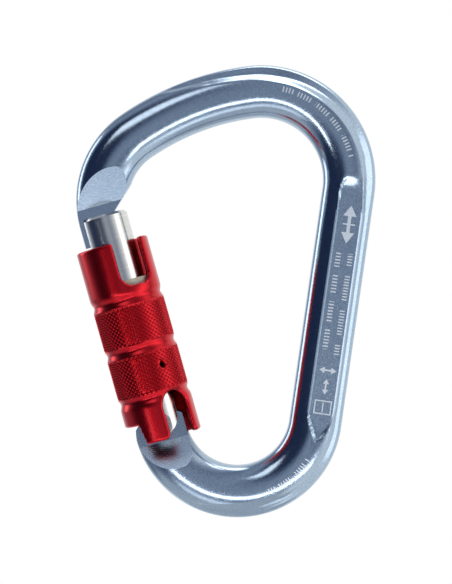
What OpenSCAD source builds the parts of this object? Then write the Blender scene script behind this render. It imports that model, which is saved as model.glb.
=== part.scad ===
// Locking carabiner: forged pear-shaped body, hinged gate, spring-loaded twist sleeve.
// Millimetres. Origin: where the rope bears inside the wide bow. +Z runs up along the
// spine, +X points from the gate towards the spine, +Y through the thickness, away from
// the front face.

/* [Body] */
// bar height, measured in the plane of the body
bar_h = 12.8; // [12.4:0.1:13.4]
// bar thickness across the flat faces
bar_t = 10.6; // [10:0.1:11.4]
// inner radius of the wide bow
wide_r = 15; // [14.5:0.1:15.5]
// inner radius of the narrow bow
narrow_r = 12.7; // [12.4:0.1:13]
// distance between the centres of the two bows along the spine
bow_gap = 57; // [56:0.1:58]
// centreline radius of the long crown between wide bow and nose
crown_r = 63; // [62:0.1:64]
// direction at which the wide bow meets the crown, in degrees
crown_from = 105.7; // [104:0.1:107]
// direction at which the crown meets the nose bend, in degrees
crown_to = 133; // [132:0.1:134]
// centreline radius of the nose bend
nose_r = 19; // [18.8:0.1:19.2]
// width of the stepped rim along the outer flank
rim_w = 2.4; // [1.8:0.1:3]
// depth of the step at the rim
rim_d = 0.8; // [0.6:0.1:1]
// width of the panel sunk into each face of the spine
panel_w = 6.2; // [5:0.1:6.6]
// length of that panel
panel_l = 62; // [40:1:62]

/* [Nose and tang] */
// thickness of the nose blade and of the hinge tang
blade_t = 3.4; // [3:0.1:3.6]
// height at which the nose face starts to thicken
nose_low = 57.6; // [57:0.1:58.5]
// height at which the nose reaches full thickness
nose_high = 65.6; // [65:0.1:67]
// inner edge of the blade, from the gate axis
blade_in = 2.9; // [2.6:0.1:3]
// height at which the body shoulder starts below the hinge
foot_high = -1.8; // [-2.2:0.1:-1.7]
// height at which the body reaches full thickness
foot_low = -8.8; // [-10:0.1:-8.5]
// top of the tang, where the plunger bears
tang_top = 5.4; // [5.2:0.1:5.5]

/* [Gate] */
// lean of the gate axis away from the spine, in degrees
lean = 23.9; // [23.6:0.1:24.2]
// distance from the narrow bow's centre to the gate axis
axis_gap = 18.4; // [18.2:0.1:18.6]
// diameter of the gate above the shoulder
gate_d = 11.5; // [11.3:0.1:11.7]
// diameter of the gate below the shoulder
stem_d = 10.6; // [10.4:0.1:10.7]
// height of the gate's top end
gate_top = 55.07; // [54.8:0.01:55.1]
// height of the shoulder under which the upper bush sits
shoulder = 38.3; // [38:0.1:38.6]
// height of the hinge rivet
hinge_s = 2.4; // [2.3:0.1:2.5]
// diameter of the hinge rivet
rivet_d = 3; // [2.6:0.1:3.1]
// width of each clevis ear
ear_w = 8.4; // [8:0.1:8.8]

/* [Sleeve] */
// outer diameter over the collars
sleeve_d = 17.7; // [17.5:0.1:17.9]
// bore diameter
sleeve_bore = 14.6; // [14.5:0.1:14.7]
// height of the sleeve's top rim
sleeve_top = 47.7; // [47.4:0.1:47.7]
// height of the lower tabs' ends
tab_low = -1.2; // [-1.3:0.1:-1]
// height of the raised bottom edge on the outer side
edge_high = 3.66; // [3:0.01:4]
// depth of each finger groove
groove_d = 0.5; // [0.3:0.1:0.6]
// length of each finger groove along the sleeve
groove_l = 2.6; // [2:0.1:3]
// width of the two notches in the top rim
top_notch_w = 8.1; // [7.6:0.1:8.4]
// width of the notch in the bottom edge
low_notch_w = 7.5; // [7:0.1:7.8]
// how far the sleeve lifts
lift = 4.5; // [4:0.1:4.6]
// how far the sleeve turns, in degrees
twist = 60; // [58:1:62]

/* [Hidden] */
wide_c = [0, -wide_r];
spine_x = wide_r + bar_h / 2;
narrow_c = [spine_x - narrow_r - bar_h / 2, -wide_r - bow_gap];
crown_c = wide_c - (crown_r - wide_r - bar_h / 2) * [cos(crown_from), sin(crown_from)];
nose_c = crown_c + (crown_r - nose_r) * [cos(crown_to), sin(crown_to)];
axis_foot = narrow_c - axis_gap * [cos(lean), sin(lean)];
nose_end = 180 + lean;
nose_n = (nose_c - axis_foot) * [cos(lean), sin(lean)] - nose_r;
nose_s = (nose_c - axis_foot) * [-sin(lean), cos(lean)];
rim_to = -72;
lap = 0.4;
lap_less = 0.015;
big = 60;
face_gap = 0.25;
panel_d = 0.2;
panel_mid = (wide_c[1] + narrow_c[1]) / 2;

body_blue = [0.42, 0.47, 0.55];
gate_grey = [0.75, 0.76, 0.78];
sleeve_red = [0.69, 0.06, 0.11];
steel = [0.62, 0.63, 0.65];
ivory = [0.85, 0.82, 0.72];

slot_t = blade_t + 2 * face_gap;
slot_high = 7.8;
stem_from = 9;
ear_mid = 4;
fork_low = 44.5;
fork_in = blade_in + 0.3;
fork_flat = 4.9;
sweep_gap = 0.2;
rim_round = 0.6;
blade_end_r = norm([sleeve_d / 2 - rim_round, sleeve_top - rim_round - hinge_s])
    + rim_round + sweep_gap;

plunger_d = 3.8;
plunger_l = 8;
plunger_low = tang_top + 0.06;
bore_d = plunger_d + 0.2;
bore_high = 26;
gate_wire = 0.6;
pivot_fit = 0.05;
rivet_head_d = 4.4;
rivet_face = 4.7;
rivet_end = 5.5;

hole_angle = 30.8;
hole_s = 16.5;
hole_d = 1.4;
pin_s = hole_s + lift;
pin_d = 1.3;
pin_in = 3;
pin_out = 7.1;
window_gap = 0.2;
lip_low = 10.4;
lip_bore = 13;
bush_low = 11.2;
bush_high = 22.3;
washer_low = bush_high + 0.1;
washer_t = 0.7;
top_bush_l = 3.25;
ring_in = stem_d / 2 + 0.12;
ring_out = sleeve_bore / 2 - 0.12;
spring_wire = 1.1;
spring_low = washer_low + washer_t + 0.05;
spring_high = shoulder - top_bush_l - 0.1;
top_notch_s = 36.7;
top_notch_at = 29.5;
low_notch_at = 36.25;
low_notch_s = 9.9;
notch_round = 3;
raised_from = -141.3;
raised_to = -38.7;
groove_at = [9.35, 21.5, 33.7];

// ---------- placing ----------

// Stands children on the gate axis: local Z runs up the gate, local X towards the spine.
module on_gate() {
    translate([axis_foot[0], 0, axis_foot[1]]) rotate([0, -lean, 0]) children();
}

// Turns children about the gate axis; 0 faces the front and 90 the spine.
module facing(angle) {
    rotate([0, 0, angle - 90]) children();
}

// Extrudes an outline drawn in the plane of the body through a thickness t.
module plate(t) {
    rotate([90, 0, 0]) linear_extrude(height = t, center = true) children();
}

// A round bar across the body, at x and z.
module cross_bar(x, z, d, l) {
    translate([x, 0, z]) rotate([90, 0, 0]) cylinder(d = d, h = l, center = true, $fn = 48);
}

// ---------- forged body ----------

// The bar's outline, slimmer all round by `less`: x points to the outer flank.
module bar_section(rimmed, less = 0) {
    h = bar_h - 2 * less;
    t = bar_t - 2 * less;
    difference() {
        intersection() {
            circle(d = h, $fn = 48);
            square([h, t], center = true);
        }
        if (rimmed) for (side = [-1, 1])
            translate([h / 2 - rim_w, side > 0 ? t / 2 - rim_d : -t / 2])
                square([rim_w, rim_d]);
    }
}

// A bend of the bar about centre c, between two directions in the plane of the body.
module bend(c, r, from, to, rimmed, less = 0) {
    translate([c[0], 0, c[1]]) rotate([90, 0, 0]) rotate([0, 0, from])
        rotate_extrude(angle = to - from, $fn = 72)
            translate([r, 0]) bar_section(rimmed, less);
}

// Every other stretch is a hair slimmer and runs a little way into its neighbours.
module crown() {
    over = lap / crown_r * 180 / PI;
    bend(crown_c, crown_r, crown_from - over, crown_to + over, true, lap_less);
}

module spine() {
    translate([spine_x, 0, narrow_c[1] - lap])
        linear_extrude(height = bow_gap + 2 * lap) bar_section(true, lap_less);
}

// The wedge that thins the bar from the gate axis height `thin` to the height `full`.
module thinning(thin, full, reach) {
    for (side = [0, 180]) rotate([0, 0, side]) rotate([90, 0, -90])
        linear_extrude(height = big, center = true)
            polygon([[-blade_t / 2, reach], [-blade_t / 2, thin],
                [-bar_t / 2 - 0.5, full + (full - thin) / (bar_t - blade_t)],
                [-big / 4, full], [-big / 4, reach]]);
}

module nose() {
    difference() {
        union() {
            bend(nose_c, nose_r, crown_to, nose_end, false);
            on_gate() translate([nose_n, 0, blade_end_r])
                linear_extrude(height = nose_s + lap - blade_end_r)
                    bar_section(false, lap_less);
        }
        on_gate() {
            thinning(nose_low, nose_high, 40);
            cross_bar(0, hinge_s, 2 * blade_end_r, big);
            plate(big) polygon([[blade_in, 40], [blade_in, 55.3], [13.2, 64.75], [13.2, 40]]);
        }
    }
}

module tang() {
    on_gate() difference() {
        plate(blade_t) polygon([[-6.5, -3], [-6.5, 2.6], [-3.6, tang_top], [3, tang_top],
            [5.5, 3.8], [5.5, -3]]);
        cross_bar(0, hinge_s, rivet_d, big);
    }
}

module foot() {
    difference() {
        bend(narrow_c, narrow_r + bar_h / 2, nose_end, 360 + rim_to + lap, false, lap_less);
        on_gate() thinning(foot_high, foot_low, 12);
    }
}

// The sunk panel: rounded at the top and pointed at the bottom.
module panel_outline() {
    translate([0, panel_l / 2 - panel_w / 2]) circle(d = panel_w, $fn = 48);
    polygon([[-panel_w / 2, panel_l / 2 - panel_w / 2], [-panel_w / 2, 2 * panel_w - panel_l / 2],
        [panel_w / 2 - 1, -panel_l / 2], [panel_w / 2, 2 * panel_w - panel_l / 2],
        [panel_w / 2, panel_l / 2 - panel_w / 2]]);
}

module forged_body() {
    color(body_blue) difference() {
        union() {
            bend(wide_c, wide_r + bar_h / 2, 0, crown_from, true);
            crown();
            nose();
            spine();
            bend(narrow_c, narrow_r + bar_h / 2, 360 + rim_to, 360, true);
            foot();
            tang();
        }
        for (side = [-1, 1]) translate([spine_x, side * bar_t / 2, panel_mid])
            plate(2 * panel_d) panel_outline();
    }
}

module hinge_rivet() {
    color(steel) on_gate() {
        cross_bar(0, hinge_s, rivet_d, 2 * rivet_end);
        for (side = [-1, 1]) translate([0, side * (rivet_face + rivet_end + pivot_fit) / 2, 0])
            cross_bar(0, hinge_s, rivet_head_d, rivet_end - rivet_face - pivot_fit);
    }
}

// ---------- gate ----------

module gate_ears() {
    intersection() {
        cylinder(d = stem_d, h = 4 * stem_from, center = true, $fn = 96);
        plate(big) {
            translate([0, ear_mid]) circle(d = ear_w, $fn = 64);
            translate([-ear_w / 2, ear_mid]) square([ear_w, stem_from - ear_mid + 0.5]);
        }
    }
}

module gate_barrel() {
    color(gate_grey) on_gate() difference() {
        union() {
            gate_ears();
            translate([0, 0, stem_from]) cylinder(d = stem_d, h = shoulder - stem_from, $fn = 96);
            translate([0, 0, shoulder])
                cylinder(d = gate_d, h = gate_top - shoulder - rim_round, $fn = 96);
            translate([0, 0, gate_top - rim_round])
                cylinder(d1 = gate_d, d2 = gate_d - 2 * rim_round, h = rim_round, $fn = 96);
        }
        // clevis, rivet hole and flats for the rivet heads
        translate([-big / 2, -slot_t / 2, -big]) cube([big, slot_t, big + slot_high]);
        cross_bar(0, hinge_s, rivet_d + 2 * pivot_fit, big);
        for (side = [-1, 1]) translate([0, side * (rivet_face + big / 2), 0])
            cross_bar(0, hinge_s, rivet_head_d + 1, big);
        // plunger bore and pin hole
        cylinder(d = bore_d, h = bore_high, $fn = 48);
        facing(90) translate([pin_in, 0, pin_s]) rotate([0, 90, 0])
            cylinder(d = pin_d, h = big, $fn = 32);
        // fork for the nose blade
        translate([-big, -slot_t / 2, fork_low]) cube([big + fork_in, slot_t, big]);
        translate([-big - fork_flat, -big / 2, fork_low]) cube([big, big, big]);
    }
}

module gate_plunger() {
    color(steel) on_gate() {
        translate([0, 0, plunger_low]) cylinder(d = plunger_d, h = plunger_l, $fn = 48);
        translate([0, 0, plunger_low + plunger_l])
            cylinder(d = bore_d / 2 - gate_wire, h = 1.5, $fn = 32);
    }
}

// ---------- springs ----------

// A coil of round wire standing on z = low: mean radius r, with turns flattening at the ends.
module coil(r, wire, low, high, turns) {
    sides = 10;
    steps = 20 * turns;
    function rise(t) = wire / 2 + (high - low - wire) * (3 * t * t - 2 * t * t * t + 2 * t) / 3;
    function ring(i) = [for (k = [0:sides - 1])
        let (a = 360 * turns * i / steps, b = 360 * k / sides, q = r + wire / 2 * cos(b))
        [q * cos(a), q * sin(a), low + rise(i / steps) + wire / 2 * sin(b)]];
    polyhedron(
        points = [for (i = [0:steps]) each ring(i)],
        faces = concat(
            [[for (k = [0:sides - 1]) k]],
            [for (i = [0:steps - 1], k = [0:sides - 1])
                let (m = (k + 1) % sides)
                [i * sides + k, (i + 1) * sides + k, (i + 1) * sides + m, i * sides + m]],
            [[for (k = [sides - 1:-1:0]) steps * sides + k]]));
}

module gate_spring() {
    color(steel) on_gate()
        coil((bore_d - 0.2 - gate_wire) / 2, gate_wire, plunger_low + plunger_l + 0.02,
            bore_high - 0.1, 11);
}

module sleeve_spring() {
    color(steel) on_gate()
        coil((ring_in + ring_out) / 2, spring_wire, spring_low, spring_high, 6);
}

// ---------- sleeve and what it runs on ----------

module ring(out, in, low, h) {
    translate([0, 0, low]) difference() {
        cylinder(r = out, h = h, $fn = 96);
        translate([0, 0, -1]) cylinder(r = in, h = h + 2, $fn = 96);
    }
}

module guide_pin() {
    color(steel) on_gate() facing(90) translate([pin_in + 0.1, 0, pin_s]) rotate([0, 90, 0])
        cylinder(d = pin_d, h = pin_out - pin_in - 0.1, $fn = 32);
}

module upper_bush() {
    color(ivory) on_gate()
        ring(ring_out, stem_d / 2 + 0.02, shoulder - top_bush_l, top_bush_l - 0.02);
}

module thrust_washer() {
    color(steel) on_gate() ring(ring_out, ring_in, washer_low, washer_t);
}

// The bush pressed into the sleeve; the guide pin runs in its window.
module guide_bush() {
    r = pin_d / 2 + window_gap;
    spread = asin(r / (stem_d / 2));
    color(ivory) on_gate() difference() {
        ring(sleeve_bore / 2, ring_in, bush_low, bush_high - bush_low);
        facing(90 - twist - spread) rotate_extrude(angle = twist + 2 * spread, $fn = 96)
            translate([pin_in, hole_s - r]) square([big / 4, lift + 2 * r]);
    }
}

module groove(s) {
    groove_r = (groove_l * groove_l / 4 + groove_d * groove_d) / (2 * groove_d);
    translate([sleeve_d / 2 - groove_d + groove_r, s]) circle(r = groove_r, $fn = 64);
}

module sleeve_outline() {
    difference() {
        union() {
            translate([sleeve_bore / 2, tab_low])
                square([(sleeve_d - sleeve_bore) / 2, sleeve_top - rim_round - tab_low]);
            translate([sleeve_bore / 2, tab_low])
                square([(sleeve_d - sleeve_bore) / 2 - rim_round, sleeve_top - tab_low]);
            translate([sleeve_d / 2 - rim_round, sleeve_top - rim_round])
                circle(r = rim_round, $fn = 48);
            translate([lip_bore / 2, lip_low])
                square([(sleeve_d - lip_bore) / 4, bush_low - lip_low]);
        }
        for (s = groove_at) groove(s);
    }
}

module top_notches() {
    facing(top_notch_at) {
        translate([-big / 2, -top_notch_w / 2, top_notch_s + notch_round])
            cube([big, top_notch_w, big]);
        translate([-big / 2, notch_round - top_notch_w / 2, top_notch_s])
            cube([big, top_notch_w - 2 * notch_round, big]);
        for (side = [-1, 1])
            translate([0, side * (top_notch_w / 2 - notch_round), top_notch_s + notch_round])
                rotate([0, 90, 0]) cylinder(r = notch_round, h = big, center = true, $fn = 48);
    }
}

module low_notch() {
    r = low_notch_w / 2;
    facing(low_notch_at) {
        translate([0, -r, low_notch_s - r - big]) cube([big, low_notch_w, big]);
        translate([0, 0, low_notch_s - r]) rotate([0, 90, 0]) cylinder(r = r, h = big, $fn = 64);
    }
}

module locking_sleeve() {
    color(sleeve_red) on_gate() difference() {
        rotate_extrude($fn = 128) sleeve_outline();
        top_notches();
        low_notch();
        facing(raised_from) rotate_extrude(angle = raised_to - raised_from, $fn = 128)
            translate([1, tab_low - 1]) square([big / 3, edge_high - tab_low + 1]);
        facing(hole_angle) translate([stem_d / 2, 0, hole_s]) rotate([0, 90, 0])
            cylinder(d = hole_d, h = big, $fn = 32);
    }
}

forged_body();
hinge_rivet();
gate_barrel();
gate_plunger();
gate_spring();
guide_pin();
upper_bush();
sleeve_spring();
thrust_washer();
guide_bush();
locking_sleeve();
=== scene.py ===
"""Locking carabiner: polished blue-grey body, satin gate, red knurled sleeve.

Row frame in metres: the origin is where a rope bears inside the wide bow, +Z runs up
along the spine, +X points from the gate to the spine and +Y away from the front face.
"""
import math

import bmesh
import bpy
import numpy as np
from mathutils import Matrix, Vector


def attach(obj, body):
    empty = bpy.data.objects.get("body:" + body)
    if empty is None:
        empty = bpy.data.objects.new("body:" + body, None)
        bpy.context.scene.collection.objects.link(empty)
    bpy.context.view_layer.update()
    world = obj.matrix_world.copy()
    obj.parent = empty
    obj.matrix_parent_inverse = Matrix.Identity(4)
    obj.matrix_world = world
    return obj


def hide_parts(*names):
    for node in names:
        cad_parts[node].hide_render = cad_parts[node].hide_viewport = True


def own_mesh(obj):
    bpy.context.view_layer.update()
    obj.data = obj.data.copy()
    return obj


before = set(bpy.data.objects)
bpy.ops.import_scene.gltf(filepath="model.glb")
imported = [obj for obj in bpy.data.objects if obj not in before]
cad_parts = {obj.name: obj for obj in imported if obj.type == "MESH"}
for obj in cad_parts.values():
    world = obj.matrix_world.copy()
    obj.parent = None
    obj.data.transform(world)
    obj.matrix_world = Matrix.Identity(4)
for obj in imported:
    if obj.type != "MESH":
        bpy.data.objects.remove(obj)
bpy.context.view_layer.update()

MM = 0.001

# The bar's line, in millimetres and degrees.
BAR_H, BAR_T = 12.8, 10.6
WIDE_R, NARROW_R, NOSE_R, CROWN_R = 21.4, 19.1, 19.0, 63.0
BOW_GAP = 57.0
CROWN_FROM, CROWN_TO = 105.7, 133.0
LEAN = 23.9
AXIS_GAP = 18.4

# Heights along the gate axis, from its foot.
HINGE_S = 2.4
BLADE_HALF, BLADE_IN = 1.7, 2.9
BLADE_END_R = 46.25
NOSE_LOW, NOSE_HIGH = 57.6, 65.6
FOOT_HIGH, FOOT_LOW = -1.8, -8.8
TANG_TOP = 5.4
HOOK = ((2.9, 55.3), (13.2, 64.75))

SLEEVE_R, BORE_R = 8.85, 7.3
SLEEVE_TOP, TAB_LOW, EDGE_HIGH = 47.7, -1.2, 3.66

# The sunk panel on each face of the spine, from the bar's centreline.
PANEL_DEEP, PANEL_HALF_W, PANEL_OUT = 0.72, 3.1, 0.9


# ---------- the two frames: along the gate axis, and along the bar ----------

def turned(angle):
    return np.array([math.cos(math.radians(angle)), math.sin(math.radians(angle))])


ACROSS = turned(LEAN)
UP_GATE = np.array([-ACROSS[1], ACROSS[0]])
WIDE_C = np.array([0.0, -(WIDE_R - BAR_H / 2)])
NARROW_C = WIDE_C + np.array([WIDE_R - NARROW_R, -BOW_GAP])
CROWN_C = WIDE_C - (CROWN_R - WIDE_R) * turned(CROWN_FROM)
NOSE_C = CROWN_C + (CROWN_R - NOSE_R) * turned(CROWN_TO)
FOOT_C = NARROW_C - AXIS_GAP * ACROSS
NOSE_S = float((NOSE_C - FOOT_C) @ UP_GATE)
SPINE_X = float(WIDE_C[0] + WIDE_R)

GATE_FRAME = Matrix((
    (ACROSS[0], 0, UP_GATE[0], FOOT_C[0] * MM),
    (0, 1, 0, 0),
    (ACROSS[1], 0, UP_GATE[1], FOOT_C[1] * MM),
    (0, 0, 0, 1)))


def on_gate(n, y, s):
    """A point from the gate's own axes, in millimetres, to the row frame, in metres."""
    return GATE_FRAME @ Vector((n * MM, y * MM, s * MM))


def gate_direction(n, y, s):
    return (GATE_FRAME.to_3x3() @ Vector((n, y, s))).normalized()


def gate_ns(x, z):
    """How far right of the gate axis and how far up it a point lies, in millimetres."""
    dx, dz = x - FOOT_C[0], z - FOOT_C[1]
    return dx * ACROSS[0] + dz * ACROSS[1], dx * UP_GATE[0] + dz * UP_GATE[1]


# The bar runs clockwise: blade, nose bend, crown, wide bow, spine, narrow bow, tang.
# Each stretch is a length and the radius that it turns with, or None where straight.
BLADE_L = NOSE_S - (HINGE_S + BLADE_END_R)
STRETCHES = [
    (BLADE_L, None),
    (math.radians(180 + LEAN - CROWN_TO) * NOSE_R, NOSE_R),
    (math.radians(CROWN_TO - CROWN_FROM) * CROWN_R, CROWN_R),
    (math.radians(CROWN_FROM) * WIDE_R, WIDE_R),
    (BOW_GAP, None),
    (math.radians(180 - LEAN) * NARROW_R, NARROW_R),
    (TANG_TOP, None)]
STARTS = np.cumsum([0] + [length for length, radius in STRETCHES])
BAR_L = STARTS[-1]
CROWN_T, WIDE_T, SPINE_T, NARROW_T = STARTS[2:6]


def bar_line(t):
    """Centre and outward direction, in the plane of the body, at each distance t."""
    at, heading = NOSE_C + NOSE_R * turned(180 + LEAN) - BLADE_L * UP_GATE, 90.0 + LEAN
    x, z, out_x, out_z = (np.zeros_like(t) for _ in range(4))
    for (length, radius), start in zip(STRETCHES, STARTS):
        here = (t >= start) | (start == 0)
        far = t[here] - start
        out = turned(heading + 90)
        if radius is None:
            ahead = turned(heading)
            x[here], z[here] = at[0] + far * ahead[0], at[1] + far * ahead[1]
            out_x[here], out_z[here] = out
            at = at + length * ahead
        else:
            centre = at - radius * out
            a = math.radians(heading + 90) - far / radius
            out_x[here], out_z[here] = np.cos(a), np.sin(a)
            x[here], z[here] = (centre[0] + radius * np.cos(a),
                                centre[1] + radius * np.sin(a))
            heading -= math.degrees(length / radius)
            at = centre + radius * turned(heading + 90)
    return x, z, out_x, out_z


def ease(low, high, x):
    """0 below low, 1 above high, and smooth between."""
    f = np.clip((x - low) / (high - low), 0, 1)
    return f * f * (3 - 2 * f)


def placed(bm):
    co = np.array([v.co for v in bm.verts])
    return co[:, 0], co[:, 1], co[:, 2]


def place(bm, x, y, z):
    for v, co in zip(bm.verts, np.stack([x, y, z], 1).tolist()):
        v.co = co


def finished(bm, name, material, body, replaces=()):
    """Makes a mesh object of bm that rides on a body and stands for the frame's nodes."""
    mesh = bpy.data.meshes.new(name)
    bm.to_mesh(mesh)
    bm.free()
    piece = bpy.data.objects.new(name, mesh)
    bpy.context.scene.collection.objects.link(piece)
    mesh.materials.append(material)
    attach(piece, body)
    if replaces:
        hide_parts(*replaces)
    return piece


# ---------- materials ----------

class Value:
    """A number that varies over a surface; arithmetic on it adds Math nodes."""

    def __init__(self, shader, socket):
        self.shader, self.socket = shader, socket

    def math(self, operation, *others):
        node = self.shader.node("ShaderNodeMath", {"operation": operation},
                                [self, *others])
        return Value(self.shader, node.outputs[0])

    def __add__(self, other): return self.math("ADD", other)
    def __radd__(self, other): return self.math("ADD", other)
    def __sub__(self, other): return self.math("SUBTRACT", other)
    def __rsub__(self, other): return (self * -1) + other
    def __mul__(self, other): return self.math("MULTIPLY", other)
    def __rmul__(self, other): return self.math("MULTIPLY", other)
    def __truediv__(self, other): return self.math("DIVIDE", other)
    def __abs__(self): return self.math("ABSOLUTE")
    def __lt__(self, other): return self.math("LESS_THAN", other)
    def __gt__(self, other): return self.math("GREATER_THAN", other)
    def high(self, other): return self.math("MAXIMUM", other)
    def part(self, other): return self.math("FLOORED_MODULO", other)


class Shader:
    """A material and the few node calls that its recipe needs."""

    def __init__(self, name, owner=None):
        self.material = owner or bpy.data.materials.new(name)
        self.material.use_nodes = True
        self.tree = self.material.node_tree
        if owner is None:
            self.surface = self.tree.nodes["Principled BSDF"]
            self.place = self.node("ShaderNodeTexCoord").outputs["Object"]

    def axes(self):
        """The three coordinates of a point, as separate values in millimetres."""
        made = self.node("ShaderNodeSeparateXYZ", None, [self.place])
        return [Value(self, socket) * 1000 for socket in made.outputs]

    def node(self, kind, settings=None, inputs=()):
        made = self.tree.nodes.new(kind)
        for key, value in (settings or {}).items():
            if key == "stops":
                ramp = made.color_ramp.elements
                while len(ramp) < len(value):
                    ramp.new(0.5)
                for element, (at, shade) in zip(ramp, value):
                    element.position, element.color = at, (*shade, 1)
            else:
                setattr(made, key, value)
        pairs = inputs.items() if isinstance(inputs, dict) else enumerate(inputs)
        for key, value in pairs:
            self.feed(made.inputs[key], value)
        return made

    def feed(self, socket, value):
        value = value.socket if isinstance(value, Value) else value
        if isinstance(value, bpy.types.NodeSocket):
            self.tree.links.new(value, socket)
        else:
            socket.default_value = value

    def set(self, **values):
        for key, value in values.items():
            self.feed(self.surface.inputs[key.replace("_", " ")], value)

    def noise(self, scale, detail=2, roughness=0.5, place=None, stretch=None):
        place = place or self.place
        if stretch:
            place = self.node("ShaderNodeMapping", None,
                              {"Vector": place, "Scale": stretch}).outputs[0]
        made = self.node("ShaderNodeTexNoise", None, {
            "Vector": place, "Scale": scale, "Detail": detail, "Roughness": roughness})
        return Value(self, made.outputs[0])

    def spread(self, value, low, high, to_low, to_high):
        made = self.node("ShaderNodeMapRange", {"clamp": True},
                         [value, low, high, to_low, to_high])
        return Value(self, made.outputs[0])

    def ramp(self, value, *stops):
        return self.node("ShaderNodeValToRGB", {"stops": stops}, [value]).outputs[0]

    def mix(self, factor, a, b):
        made = self.node("ShaderNodeMix", {"data_type": "RGBA"},
                         {0: factor, 6: a, 7: b})
        return made.outputs[2]

    def bump(self, height, distance, strength):
        inputs = {"Height": height, "Distance": distance, "Strength": strength}
        return self.node("ShaderNodeBump", None, inputs).outputs[0]


def bar_mark(u, v, mid_u, mid_v, half_u, half_v):
    """1 inside a small rectangle, 0 outside."""
    return (abs(u - mid_u) < half_u) * (abs(v - mid_v) < half_v)


def double_arrow(u, v, half, head):
    """A load-direction arrow with a head at both ends, along v."""
    reach = abs(v)
    shaft = (abs(u) < head * 0.16) * (reach < half - head * 0.7)
    heads = (abs(u) < (half - reach) * 0.62) * (reach > half - head)
    return shaft.high(heads)


def tick_row(along, across, pitch, share, word, filled):
    """A row of short engraved strokes in groups, each group a filled share of a word."""
    stroke = (along / pitch).part(1) < share
    group = (along / word).part(1) < filled
    return stroke * group * (abs(across) < TICK_HALF)


def distance(x, z, centre):
    """How far a point lies from a centre, seen from the front."""
    dx, dz = x - float(centre[0]), z - float(centre[1])
    return (dx * dx + dz * dz).math("SQRT")


# Heights of the engraved marks on the spine's panel, from the top down.
MARKS_X = SPINE_X + 1.0
BIG_ARROW_Z, TICKS_HIGH, TICKS_LOW = -23.0, -30.0, -55.0
CROSS_ARROW_Z, SMALL_ARROW_Z, SMALL_FRAME_Z = -58.6, -62.6, -67.6
TICK_HALF = 0.62


def panel_marks(x, z):
    """Plain marks on the panel: arrows, two columns of strokes and a small frame."""
    px = x - MARKS_X
    marks = double_arrow(px, z - BIG_ARROW_Z, 4.6, 2.6)
    marks = marks.high(bar_mark(px, z, 0, BIG_ARROW_Z, 1.5, 0.16))
    for column_x, pitch, word in ((-1.45, 0.78, 6.7), (1.45, 0.7, 8.3)):
        column = tick_row(z, px - column_x, pitch, 0.42, word, 0.74)
        marks = marks.high(column * (z < TICKS_HIGH) * (z > TICKS_LOW))
    marks = marks.high(double_arrow(z - CROSS_ARROW_Z, px, 2.1, 1.3))
    marks = marks.high(double_arrow(px, z - SMALL_ARROW_Z, 1.9, 1.2))
    frame_out = bar_mark(px, z, 0, SMALL_FRAME_Z, 2.1, 1.7)
    frame_in = bar_mark(px, z, 0, SMALL_FRAME_Z, 1.8, 1.4)
    middle_bar = bar_mark(px, z, 0, SMALL_FRAME_Z, 0.14, 1.2)
    return marks.high(frame_out * (1 - frame_in)).high(middle_bar)


def bow_marks(x, z, centre, radius, low, high):
    """A row of strokes that follows a bow, between two angles in degrees."""
    dx, dz = x - float(centre[0]), z - float(centre[1])
    turn = dz.math("ARCTAN2", dx) * math.degrees(1)
    row = tick_row(turn, distance(x, z, centre) - radius, 2.0, 0.4, 13.0, 0.78)
    return row * (turn > low) * (turn < high)


def body_metal():
    s = Shader("body_anodised")
    grain = s.noise(6500, 2, 0.6)
    sparkle = s.noise(3600, 2, 0.5)
    cloud = s.noise(45, 2, 0.5)
    x, y, z = s.axes()
    front = y < -1
    marks = panel_marks(x, z)
    marks = marks.high(bow_marks(x, z, WIDE_C, 22.15, 22, 86))
    marks = marks.high(bow_marks(x, z, NARROW_C, 20.2, -60, -24)) * front
    # painted shade: the colour is darkened in a soft round zone about the hinge, over the
    # milled facets, the tang and the bar's rim there; the zone is also duller than the
    # polished bar
    hinge = on_gate(0, 0, HINGE_S) / MM
    foot = s.spread(distance(x, z, (hinge.x, hinge.z)), 9, 12.5, 1, 0)
    flat = BAR_T / 2 - PANEL_DEEP
    panel = bar_mark(x, z, SPINE_X + PANEL_OUT, -43.5, PANEL_HALF_W, 33.5)
    panel = panel * (abs(y) > flat - 0.1) * s.spread(abs(y), flat + 0.05, flat + 0.5, 1, 0)
    metal = s.ramp(grain * 0.55 + sparkle * 0.45 + (cloud - 0.5) * 0.12,
                   (0.36, (0.305, 0.395, 0.495)), (0.5, (0.39, 0.485, 0.59)),
                   (0.66, (0.565, 0.65, 0.74)))
    marked = s.mix(marks * s.spread(grain, 0.3, 0.5, 0.75, 1.0), metal,
                   (0.86, 0.90, 0.94, 1))
    # painted shade: the colour darkens towards the hinge
    tone = s.mix(foot * 0.6, marked, (0.17, 0.22, 0.30, 1))
    rough = s.spread(sparkle + (cloud - 0.5) * 0.3, 0.35, 0.7, 0.12, 0.19)
    relief = grain * (1 - panel * 0.4) + sparkle * (1 - panel * 0.5)
    s.set(Base_Color=tone, Metallic=1 - marks * 0.6,
          Roughness=rough + panel * 0.09 + marks * 0.2 + foot * 0.11,
          Normal=s.bump(relief, 0.000014, 0.6))
    return s.material


def sleeve_metal():
    s = Shader("sleeve_anodised")
    grain = s.noise(4200, 3, 0.7)
    cloud = s.noise(90, 2, 0.5)
    tone = s.ramp(grain * 0.7 + cloud * 0.3,
                  (0.32, (0.53, 0.003, 0.010)), (0.55, (0.61, 0.005, 0.014)),
                  (0.75, (0.68, 0.012, 0.022)))
    s.set(Base_Color=tone, Metallic=1.0, Coat_Weight=0.3, Coat_Roughness=0.22,
          Roughness=s.spread(grain, 0.35, 0.7, 0.27, 0.33),
          Normal=s.bump(grain, 0.000006, 0.25))
    return s.material


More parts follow.
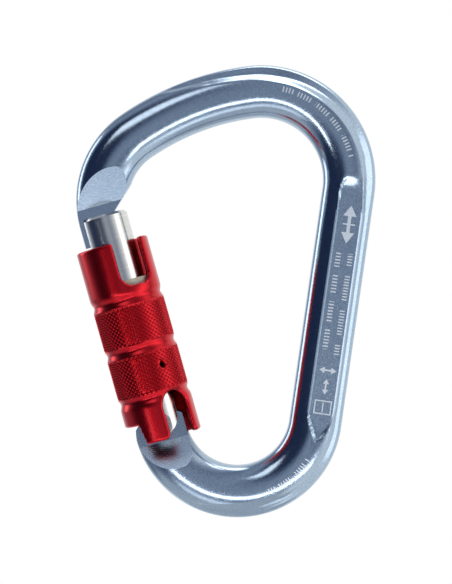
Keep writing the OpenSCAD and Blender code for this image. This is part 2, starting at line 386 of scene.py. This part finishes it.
def gate_metal():
    s = Shader("gate_satin")
    axis = s.node("ShaderNodeMapping", None, {
        "Vector": s.place, "Rotation": (0, math.radians(LEAN), 0)}).outputs[0]
    rings = s.noise(1.0, 2, 0.6, axis, (60, 60, 3000))
    grain = s.noise(6000, 2, 0.6)
    tone = s.ramp(rings * 0.35 + grain * 0.65,
                  (0.35, (0.66, 0.635, 0.60)), (0.65, (0.80, 0.78, 0.745)))
    s.set(Base_Color=tone, Metallic=1.0,
          Roughness=s.spread(grain, 0.3, 0.7, 0.15, 0.22),
          Normal=s.bump(rings * 0.3 + grain, 0.000006, 0.4))
    return s.material


def steel(name, shade, rough):
    s = Shader(name)
    grain = s.noise(3500, 3, 0.6)
    tone = s.ramp(grain, (0.3, tuple(0.7 * c for c in shade)), (0.7, shade))
    s.set(Base_Color=tone, Metallic=1.0,
          Roughness=s.spread(grain, 0.3, 0.7, rough, rough + 0.12),
          Normal=s.bump(grain, 0.000006, 0.4))
    return s.material


def ivory_plastic():
    s = Shader("bush_ivory")
    cloud = s.noise(400, 3, 0.6)
    fine = s.noise(4000, 2, 0.5)
    tone = s.ramp(cloud, (0.3, (0.50, 0.44, 0.33)), (0.7, (0.66, 0.60, 0.47)))
    s.set(Base_Color=tone, Roughness=s.spread(fine, 0.3, 0.7, 0.45, 0.6),
          Normal=s.bump(fine, 0.00001, 0.4))
    return s.material


# ---------- forged body ----------

RING = 136
STATIONS = 520


def rim_line(t):
    """Where the ridge of the outer recess runs out from the centreline, and its fall."""
    def wide(angle):
        return WIDE_T + math.radians(CROWN_FROM - angle) * WIDE_R

    def narrow(angle):
        return NARROW_T + math.radians(360 - angle) * NARROW_R

    rim = [(CROWN_T + 9, 5.5, 0.8), (CROWN_T + 14, 4.3, 1.4), (CROWN_T + 21, 2.9, 2.2),
           (wide(90), 1.8, 2.4), (wide(66), 1.95, 2.3), (wide(49), 2.4, 2.0),
           (wide(28), 2.7, 1.6), (wide(5), 3.1, 1.0), (SPINE_T + 6, 4.0, 0.8),
           (NARROW_T - 4, 4.0, 0.8), (narrow(335), 3.0, 1.4), (narrow(300), 2.1, 2.0),
           (narrow(280), 2.4, 1.8), (narrow(262), 3.5, 1.2), (narrow(247), 5.0, 0.8)]
    places, edges, falls = zip(*rim)
    return np.interp(t, places, edges), np.interp(t, places, falls), places[0], places[-1]


def shaped_bar(t, a):
    """The bar's section: u out from the centreline and v through the thickness."""
    half_h, power, seam = BAR_H / 2, 2.2, 2.6
    edge, fall, start, end = rim_line(t)
    u = half_h * np.sign(np.cos(a)) * np.abs(np.cos(a)) ** (2 / power)
    # the mesh lines are spread so that one of them follows the ridge
    u = np.where(u < seam, (u + half_h) * (edge + half_h) / (seam + half_h) - half_h,
                 half_h - (half_h - u) * (half_h - edge) / (half_h - seam))
    v = BAR_T / 2 * np.clip(1 - np.abs(u / half_h) ** power, 0, 1) ** (1 / power)
    side = np.sign(np.round(np.sin(a), 6))
    # the concave recess along the outer flank, with a leaf-shaped tip at both ends
    depth = (0.27 + 0.03 * fall) * ease(start, start + 4, t) * ease(end, end - 3.5, t)
    scoop = ease(edge - 0.12, edge + fall, u) * (1 - 0.35 * ease(4.8, 6.4, u))
    v = v * (1 - depth * scoop)
    # the flat sunk panel on the spine, with a rounded top and a pointed foot
    top, low = SPINE_T - 4.5, NARROW_T + 6
    wide = PANEL_HALF_W * np.sqrt(1 - np.clip(1 - (t - top) / 5, 0, 1) ** 2)
    wide = wide * (1 - ease(low - 9, low, t))
    inside = wide - np.abs(u - PANEL_OUT)
    reach = ease(top, top + 4, t) * ease(low, low - 5, t)
    crisp = 0.2 + 0.35 * (1 - reach) + 0.4 * ease(low - 9, low - 4, t)
    panel = ease(-crisp, crisp, inside) * reach
    v = v + np.minimum(BAR_T / 2 - PANEL_DEEP - v, 0) * panel
    return u, side * v


# The two ends of the bar, as zones beside the gate axis, and how fast they thicken.
NOSE_FROM, NOSE_REACH = 44, 16
FOOT_FROM, FOOT_TO, FOOT_REACH = -14, 8, 9
NOSE_SLOPE = (BAR_T / 2 - BLADE_HALF) / (NOSE_HIGH - NOSE_LOW)
FOOT_SLOPE = (BAR_T / 2 - BLADE_HALF) / (FOOT_HIGH - FOOT_LOW)


def is_nose(n, s):
    return (s > NOSE_FROM) & (n < NOSE_REACH)


def is_foot(n, s):
    return (s > FOOT_FROM) & (s < FOOT_TO) & (n < FOOT_REACH)


def split(bm, where, point, normal):
    """Adds a sharp edge wherever a plane crosses the faces that `where` picks."""
    def gate_place(face):
        return gate_ns(*(c / MM for c in face.calc_center_median().xz))

    faces = [f for f in bm.faces if where(*gate_place(f))]
    geom = list({g for f in faces for g in (*f.verts, *f.edges)}) + faces
    cut = bmesh.ops.bisect_plane(bm, geom=geom, dist=1e-7, plane_co=point,
                                 plane_no=normal)["geom_cut"]
    for edge in cut:
        if isinstance(edge, bmesh.types.BMEdge):
            edge.smooth = False


def split_ends(bm):
    """Puts mesh edges where the facets of the nose and the foot will meet."""
    hook_n, hook_s = HOOK[0]
    run = np.array(HOOK[1]) - np.array(HOOK[0])
    split(bm, lambda n, s: is_nose(n, s) and s < hook_s + 2,
          on_gate(BLADE_IN, 0, 0), gate_direction(1, 0, 0))
    split(bm, lambda n, s: is_nose(n, s) and s > hook_s - 2,
          on_gate(hook_n, 0, hook_s), gate_direction(run[1], 0, -run[0]))
    for side in (-1, 1):
        face_y = side * BLADE_HALF
        split(bm, lambda n, s: is_nose(n, s) and s < NOSE_LOW + 1,
              on_gate(0, face_y, 0), (0, 1, 0))
        split(bm, lambda n, s: is_nose(n, s) and s > NOSE_LOW - 1,
              on_gate(0, face_y, NOSE_LOW), gate_direction(0, side, -NOSE_SLOPE))
        split(bm, lambda n, s: is_foot(n, s) and s > FOOT_HIGH - 1,
              on_gate(0, face_y, 0), (0, 1, 0))
        split(bm, lambda n, s: is_foot(n, s) and s < FOOT_HIGH + 1,
              on_gate(0, face_y, FOOT_HIGH), gate_direction(0, side, FOOT_SLOPE))
    split(bm, is_nose, on_gate(0, 0, NOSE_LOW), gate_direction(0, 0, 1))
    split(bm, is_foot, on_gate(0, 0, FOOT_HIGH), gate_direction(0, 0, 1))


def shape_ends(bm):
    """Flattens the nose to a blade and the foot to a tang, and trims both."""
    x, y, z = (c / MM for c in placed(bm))
    n, s = gate_ns(x, z)
    at_nose, at_foot = is_nose(n, s), is_foot(n, s)
    thin = np.full_like(y, BAR_T)
    thin[at_nose] = BLADE_HALF + NOSE_SLOPE * np.clip(s[at_nose] - NOSE_LOW, 0, None)
    thin[at_foot] = BLADE_HALF + FOOT_SLOPE * np.clip(FOOT_HIGH - s[at_foot], 0, None)
    y = np.clip(y, -thin, thin)
    run = np.array(HOOK[1]) - np.array(HOOK[0])
    inner = HOOK[0][0] + np.clip(s - HOOK[0][1], 0, None) * run[0] / run[1]
    n = np.where(at_nose & (s < HOOK[1][1]), np.minimum(n, inner), n)
    # the blade's end is an arc about the hinge, and the tang's corners are cut back
    end = at_nose & (s < HINGE_S + BLADE_END_R + 0.01)
    s = np.where(end, HINGE_S + np.sqrt(BLADE_END_R ** 2 - n ** 2), s)
    left = -6.5 + np.where(s < 2.6, (s - 2.6) * 0.23, (s - 2.6) * 1.04)
    right = 5.5 - np.clip(s - 3.8, 0, None) * 1.56
    n = np.where(at_foot & (s > 0), np.clip(n, left, right), n)
    place(bm, (FOOT_C[0] + n * ACROSS[0] + s * UP_GATE[0]) * MM, y * MM,
          (FOOT_C[1] + n * ACROSS[1] + s * UP_GATE[1]) * MM)
    near = [v for v, a, b in zip(bm.verts, at_nose, at_foot) if a or b]
    bmesh.ops.remove_doubles(bm, verts=near, dist=0.03 * MM)


def smooth_below(bm, crease):
    """Shades the faces smooth, with the edges above an angle in degrees left sharp."""
    for face in bm.faces:
        face.smooth = True
    for edge in bm.edges:
        edge.smooth = edge.calc_face_angle(0) < math.radians(crease)


def soft_edges(piece, width, segments, angle):
    """A live bevel on the edges that turn by more than an angle in degrees."""
    bevel = piece.modifiers.new("soft_edges", "BEVEL")
    bevel.width, bevel.segments, bevel.limit_method = width * MM, segments, "ANGLE"
    bevel.angle_limit = math.radians(angle)
    return bevel


def forged_body(material):
    bm = bmesh.new()
    bmesh.ops.create_circle(bm, segments=RING, radius=1)
    bmesh.ops.spin(bm, geom=bm.verts[:] + bm.edges[:], axis=(0, 0, 1), cent=(0, 0, 0),
                   dvec=(0, 0, 1), angle=0, steps=STATIONS)
    bmesh.ops.holes_fill(bm, edges=[e for e in bm.edges if e.is_boundary])
    x, y, z = placed(bm)
    t = z * BAR_L / STATIONS
    u, v = shaped_bar(t, np.arctan2(y, x))
    cx, cz, ox, oz = bar_line(t)
    place(bm, (cx + u * ox) * MM, v * MM, (cz + u * oz) * MM)
    split_ends(bm)
    shape_ends(bm)
    bmesh.ops.recalc_face_normals(bm, faces=bm.faces[:])
    smooth_below(bm, 13)
    piece = finished(bm, "body_forging", material, "frame", ["forged_body"])
    soft_edges(piece, 0.14, 2, 19)


# ---------- sleeve ----------

# The grid runs past the sleeve's outline by a margin at each end.
COLUMNS, ROWS, MARGIN = 192, 176, 0.6
PITCH = (SLEEVE_TOP - TAB_LOW + 2 * MARGIN) / ROWS

# Bands, grooves, notches and the small hole: heights in millimetres, turns in degrees.
KNURLS, KNURL_DEEP = ((10.6, 20.1), (22.8, 32.1)), 0.4
GROOVES, GROOVE_DEEP, GROOVE_SPREAD = (9.35, 21.5, 33.7), 0.5, 0.95
TOP_NOTCHES, TOP_NOTCH_HALF, TOP_NOTCH_FLOOR = (29.5, 209.5), 4.2, 36.7
LOW_NOTCH, LOW_NOTCH_HALF, LOW_NOTCH_ROOF = 36.25, 3.87, 9.9
HOLE_TURN, HOLE_LOW, HOLE_HIGH, HOLE_R = 30.8, 15.8, 17.2, 0.7
RIM_CORNER, TAB_CORNER = 0.7, 1.3


def slot_gap(x, s, mid, half, low, high, corner):
    """How far outside a rounded slot a point of the unrolled sleeve lies."""
    dx = np.abs(x - mid) - (half - corner)
    ds = np.abs(s - (low + high) / 2) - ((high - low) / 2 - corner)
    return (np.hypot(np.clip(dx, 0, None), np.clip(ds, 0, None))
            + np.minimum(np.maximum(dx, ds), 0) - corner)


def rounded(a, b, corner):
    """Two gaps joined, with a round corner where the two edges meet."""
    near = (a < corner) & (b < corner)
    return np.where(near, corner - np.hypot(corner - a, corner - b), np.minimum(a, b))


def arc(angle):
    """An angle round the sleeve as a length along its unrolled surface."""
    return math.radians(angle) * SLEEVE_R


def sleeve_edge(x, s):
    """How far inside the sleeve's outline a point lies; x runs round from the front."""
    once_round = 2 * math.pi * SLEEVE_R

    def about(mid):
        return mid + (x - mid + once_round / 2) % once_round - once_round / 2

    top = SLEEVE_TOP - s
    for turn in TOP_NOTCHES:
        mid = arc(turn)
        notch = slot_gap(about(mid), s, mid, TOP_NOTCH_HALF, TOP_NOTCH_FLOOR, 60, 3.0)
        top = rounded(top, notch, RIM_CORNER)
    mid = arc(LOW_NOTCH)
    notch = slot_gap(about(mid), s, mid, LOW_NOTCH_HALF, -20, LOW_NOTCH_ROOF,
                     LOW_NOTCH_HALF - 0.01)
    side = about(arc(-90))
    step = ease(arc(-150), arc(-141.3), side) * ease(arc(-29.5), arc(-38.7), side)
    low = rounded(s - (TAB_LOW + (EDGE_HIGH - TAB_LOW) * step), notch, TAB_CORNER)
    mid = arc(HOLE_TURN)
    hole = slot_gap(about(mid), s, mid, HOLE_R, HOLE_LOW, HOLE_HIGH, HOLE_R - 0.01)
    return np.min([top, low, hole], 0)


def sleeve_radius(s):
    r = np.full_like(s, SLEEVE_R)
    for mid in GROOVES:
        r -= GROOVE_DEEP * np.exp(-((s - mid) / GROOVE_SPREAD) ** 2)
    return r


def onto_outline(x, s, rim):
    """Moves the points of the open edges onto the sleeve's outline."""
    h = 1e-3
    for _ in range(4):
        gap = sleeve_edge(x, s)
        gx = (sleeve_edge(x + h, s) - gap) / h
        gs = (sleeve_edge(x, s + h) - gap) / h
        size = np.maximum(gx * gx + gs * gs, 0.2)
        x = np.where(rim, x - gap * gx / size, x)
        s = np.where(rim, s - gap * gs / size, s)
    return x, s


def knurled(s, gap, column, row):
    """Where the bands are knurled, and how high the crossed grooves leave the metal."""
    band = np.zeros_like(s)
    for low, high in KNURLS:
        band += ease(low - 0.15, low + 0.3, s) * ease(high + 0.15, high - 0.3, s)
    band *= ease(0.3, 0.8, gap)
    groove = [0.0, 0.75, 1.0, 0.75]
    height = np.minimum(np.take(groove, (column + row).astype(int) % 4),
                        np.take(groove, (column - row).astype(int) % 4))
    return band, height


def bored(x, y, s):
    """Turns of the bore's points, set so that the notches keep parallel walls."""
    turn, far = np.arctan2(x, -y), np.hypot(x, y)
    bore_turn = turn.copy()
    for mid, near in ((TOP_NOTCHES[0], ease(34, 36.5, s)),
                      (TOP_NOTCHES[1], ease(34, 36.5, s)),
                      (LOW_NOTCH, ease(12.5, 10, s))):
        off = (turn - math.radians(mid) + math.pi) % (2 * math.pi) - math.pi
        square = np.arcsin(np.clip(far * np.sin(off) / BORE_R, -0.98, 0.98))
        near = near * ease(math.radians(60), math.radians(32), np.abs(off))
        bore_turn += near * (square - off)
    return bore_turn


def locking_sleeve(material):
    bm = bmesh.new()
    bmesh.ops.create_circle(bm, segments=COLUMNS, radius=1)
    bmesh.ops.spin(bm, geom=bm.verts[:] + bm.edges[:], axis=(0, 0, 1), cent=(0, 0, 0),
                   dvec=(0, 0, 1), angle=0, steps=ROWS)
    # the notches, the hole and the steps of the edge are left out of the grid
    middles = np.array([f.calc_center_median() for f in bm.faces])
    turn = np.arctan2(middles[:, 0], -middles[:, 1])
    s = TAB_LOW - MARGIN + middles[:, 2] * PITCH
    outside = sleeve_edge(turn * SLEEVE_R, s) < 0
    bmesh.ops.delete(bm, geom=[f for f, gone in zip(bm.faces[:], outside) if gone],
                     context="FACES")
    bm.verts.index_update()
    grid_x, grid_y, grid_z = placed(bm)
    turn, row = np.arctan2(grid_x, -grid_y), np.round(grid_z)
    column = np.round(turn / (2 * math.pi) * COLUMNS)
    rim = np.array([v.is_boundary for v in bm.verts])
    x, s = onto_outline(turn * SLEEVE_R, TAB_LOW - MARGIN + row * PITCH, rim)
    gap = np.clip(sleeve_edge(x, s), 0, None)
    band, height = knurled(s, gap, column, row)
    soft = 0.5 - np.sqrt(np.clip(0.25 - np.clip(0.5 - gap, 0, None) ** 2, 0, None))
    r = sleeve_radius(s) - soft - band * KNURL_DEEP * (1 - height)
    turn = x / SLEEVE_R
    place(bm, r * np.sin(turn) * MM, -r * np.cos(turn) * MM, s * MM)
    for face in bm.faces:
        face.smooth = max(band[v.index] for v in face.verts) < 0.05
    wall = bmesh.ops.extrude_face_region(bm, geom=bm.faces[:], use_keep_orig=True)
    inner = [g for g in wall["geom"] if isinstance(g, bmesh.types.BMVert)]
    x, y, s = (np.array([v.co[i] / MM for v in inner]) for i in range(3))
    for v, a, up in zip(inner, bored(x, y, s), s):
        v.co = (BORE_R * math.sin(a) * MM, -BORE_R * math.cos(a) * MM, up * MM)
    for edge in bm.edges:
        if edge.is_manifold and edge.calc_face_angle(0) > math.radians(60):
            edge.smooth = False
    bmesh.ops.recalc_face_normals(bm, faces=bm.faces[:])
    bm.transform(GATE_FRAME)
    finished(bm, "sleeve_shell", material, "sleeve", ["locking_sleeve"])


# ---------- pieces kept from the frame, with softened edges ----------

def softened(node, body, material, width):
    """A node's own shape again, merged, with its sharp edges rounded to a width."""
    bm = bmesh.new()
    bm.from_mesh(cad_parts[node].data)
    bmesh.ops.remove_doubles(bm, verts=bm.verts[:], dist=0.000002)
    bmesh.ops.dissolve_limit(bm, angle_limit=math.radians(1), verts=bm.verts[:],
                             edges=bm.edges[:])
    smooth_below(bm, 18)
    piece = finished(bm, node + "_turned", material, body, [node])
    soft_edges(piece, width, 3, 26).harden_normals = True


def coil(node, material):
    """A spring: the node's own shape again, merged and shaded smooth, on a mesh of its
    own.
    """
    bm = bmesh.new()
    bm.from_mesh(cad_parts[node].data)
    bmesh.ops.remove_doubles(bm, verts=bm.verts[:], dist=0.000002)
    for face in bm.faces:
        face.smooth = True
    piece = finished(bm, node + "_coil", material, "gate", [node])
    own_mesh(piece)


def kept(node, material):
    """A node whose shape is right: it keeps its mesh and gets its finish."""
    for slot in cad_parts[node].material_slots:
        slot.link, slot.material = "OBJECT", material


# ---------- camera and light ----------

VIEW_ROLL = 8.15
VIEW_MID = (-4.63, -43.34)
VIEW_H = 142.2
LENS, SENSOR = 135.0, 36.0
LAMP_FAR = 1.0
FLOOR_R, FLOOR_Z = 1.1, -1.3


def camera():
    data = bpy.data.cameras.new("camera")
    data.lens, data.sensor_width = LENS, SENSOR
    data.clip_start, data.clip_end = 0.01, 20
    eye = bpy.data.objects.new("camera", data)
    bpy.context.scene.collection.objects.link(eye)
    roll = math.radians(VIEW_ROLL)
    right = Vector((math.cos(roll), 0, math.sin(roll)))
    up = Vector((-right.z, 0, right.x))
    far = VIEW_H * LENS / SENSOR * MM
    back = Vector((0, -1, 0))
    eye.matrix_world = Matrix((
        (right.x, up.x, back.x, VIEW_MID[0] * MM),
        (right.y, up.y, back.y, -far),
        (right.z, up.z, back.z, VIEW_MID[1] * MM),
        (0, 0, 0, 1)))
    bpy.context.scene.camera = eye


def soft_box(name, way, width, height, glow, shade=(1, 1, 1)):
    """A soft box off along a direction, facing the middle, as bright as its glow."""
    data = bpy.data.lights.new(name, "AREA")
    data.shape, data.size, data.size_y = "RECTANGLE", width, height
    data.energy, data.color = math.pi * width * height * glow, shade
    lamp = bpy.data.objects.new(name, data)
    bpy.context.scene.collection.objects.link(lamp)
    aim = Vector(way).normalized()
    lamp.location = Vector((VIEW_MID[0] * MM, 0, VIEW_MID[1] * MM)) + aim * LAMP_FAR
    lamp.rotation_euler = (-aim).to_track_quat("-Z", "Y").to_euler()
    lamp.visible_camera = False


def studio():
    """Soft boxes, and a room that is pale all round but for one dark side."""
    soft_box("low", (0.0, -0.925, -0.38), 1.3, 0.1, 5)
    soft_box("lower", (0.1, -0.68, -0.73), 1.0, 0.24, 0.9)
    soft_box("top", (0.1, 0.15, 1.0), 0.9, 0.3, 3)
    soft_box("right", (0.9, -0.45, 0.1), 0.4, 1.0, 0.9, (0.95, 0.97, 1))
    soft_box("upper_left", (-0.45, -0.7, 0.55), 0.5, 0.26, 1.7)
    soft_box("left", (-0.9, 0.42, 0.1), 0.3, 0.9, 2.2, (0.96, 0.98, 1))
    sky = Shader("sky", bpy.data.worlds.new("studio"))
    bpy.context.scene.world = sky.material
    sky.tree.nodes.clear()
    way = sky.node("ShaderNodeTexCoord").outputs["Generated"]
    dark_way = Vector((-0.8, -0.57, 0.1)).normalized()
    toward = sky.node("ShaderNodeVectorMath", {"operation": "DOT_PRODUCT"},
                      [way, dark_way]).outputs["Value"]
    room = sky.ramp(Value(sky, toward) * 0.5 + 0.5,
                    (0.40, (0.95, 0.98, 1.0)), (0.52, (0.48, 0.53, 0.62)),
                    (0.64, (0.22, 0.26, 0.34)), (0.72, (0.31, 0.36, 0.44)),
                    (0.785, (0.36, 0.41, 0.50)), (0.83, (0.27, 0.31, 0.40)),
                    (0.87, (0.09, 0.12, 0.19)), (0.905, (0.022, 0.035, 0.08)))
    seen = sky.node("ShaderNodeBackground", None, [(1, 1, 1, 1)])
    lit = sky.node("ShaderNodeBackground", None, [room])
    path = sky.node("ShaderNodeLightPath").outputs["Is Camera Ray"]
    both = sky.node("ShaderNodeMixShader", None, [path, lit.outputs[0], seen.outputs[0]])
    sky.node("ShaderNodeOutputWorld", None, [both.outputs[0]])
    bpy.context.scene.view_settings.view_transform = "Standard"


def floor():
    bm = bmesh.new()
    bmesh.ops.create_circle(bm, cap_ends=True, segments=96, radius=FLOOR_R)
    bm.transform(Matrix.Translation((0, 0, FLOOR_Z)))
    mesh = bpy.data.meshes.new("floor")
    bm.to_mesh(mesh)
    bm.free()
    ground = bpy.data.objects.new("floor", mesh)
    bpy.context.scene.collection.objects.link(ground)
    s = Shader("pale_floor")
    s.set(Base_Color=(0.9, 0.9, 0.9, 1), Roughness=0.7)
    mesh.materials.append(s.material)


pin_steel = steel("pin_steel", (0.62, 0.61, 0.60), 0.22)
spring_steel = steel("spring_steel", (0.45, 0.45, 0.47), 0.25)
ivory = ivory_plastic()

forged_body(body_metal())
locking_sleeve(sleeve_metal())
softened("gate_barrel", "gate", gate_metal(), 0.4)
softened("upper_bush", "gate", ivory, 0.15)
for node in ("hinge_rivet", "gate_plunger", "guide_pin", "thrust_washer"):
    kept(node, pin_steel)
coil("gate_spring", spring_steel)
coil("sleeve_spring", spring_steel)
kept("guide_bush", ivory)
camera()
studio()
floor()
